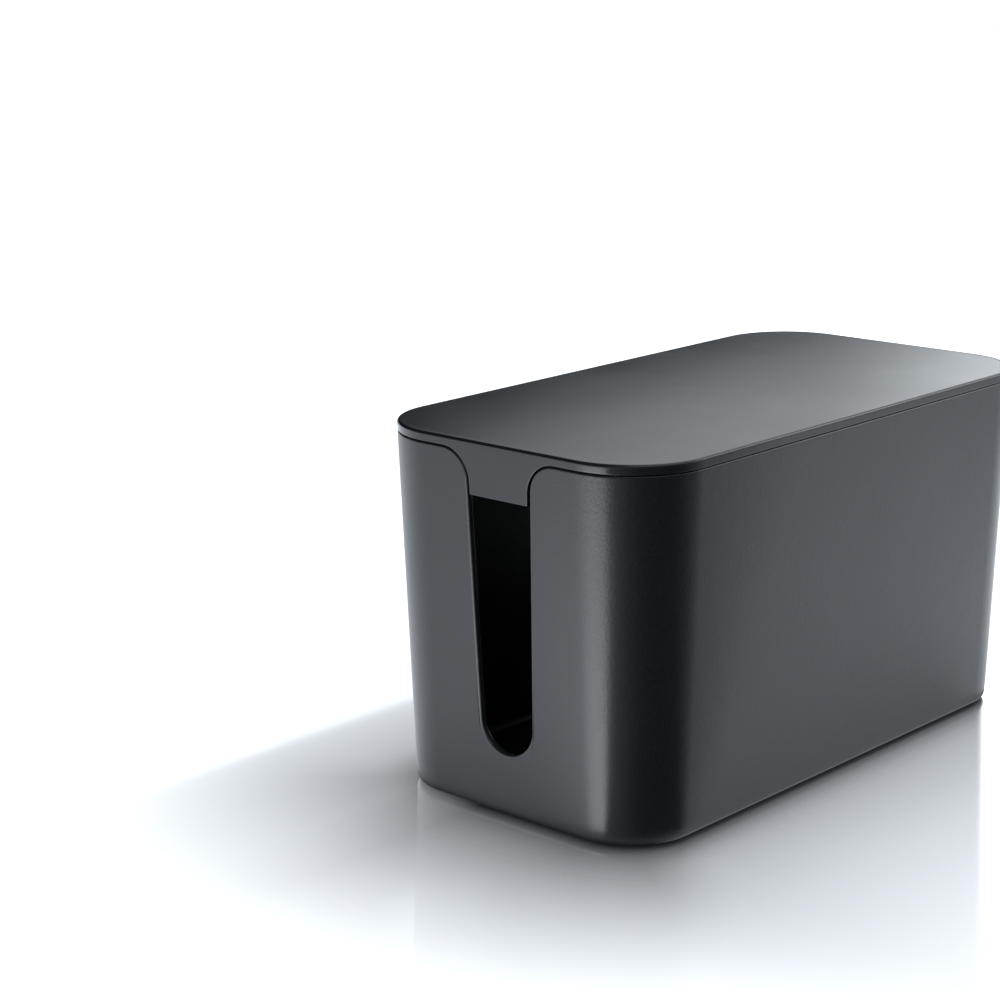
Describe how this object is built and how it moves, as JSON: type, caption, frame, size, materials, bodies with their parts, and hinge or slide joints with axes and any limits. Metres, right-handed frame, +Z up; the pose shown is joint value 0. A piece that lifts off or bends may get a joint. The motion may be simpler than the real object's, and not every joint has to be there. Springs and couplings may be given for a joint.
{
  "type": "cable management box",
  "caption": "Long rounded desk box that hides a power strip, with a lift-off lid whose end flaps close the tops of the U-shaped cable slots.",
  "frame": {"origin": "on the table, under the centre of the box", "axes": "+X along the length of the box, +Y along its depth, towards the back, +Z up"},
  "size_m": [0.236, 0.124, 0.13],
  "materials": {
    "case_plastic": "fine spark-eroded grain, satin black",
    "lid_plastic": "smooth satin black",
    "foot_rubber": "matte black rubber"
  },
  "bodies": {
    "box": {"box_body": "case_plastic", "foot_front_left": "foot_rubber", "foot_front_right": "foot_rubber", "foot_back_left": "foot_rubber", "foot_back_right": "foot_rubber"},
    "lid": {"lid": "lid_plastic"}
  },
  "joints": [
    {"name": "lid_lift", "type": "slide", "parent": "box", "child": "lid", "axis": [0, 0, 1], "range_m": [0, 0.04]}
  ]
}
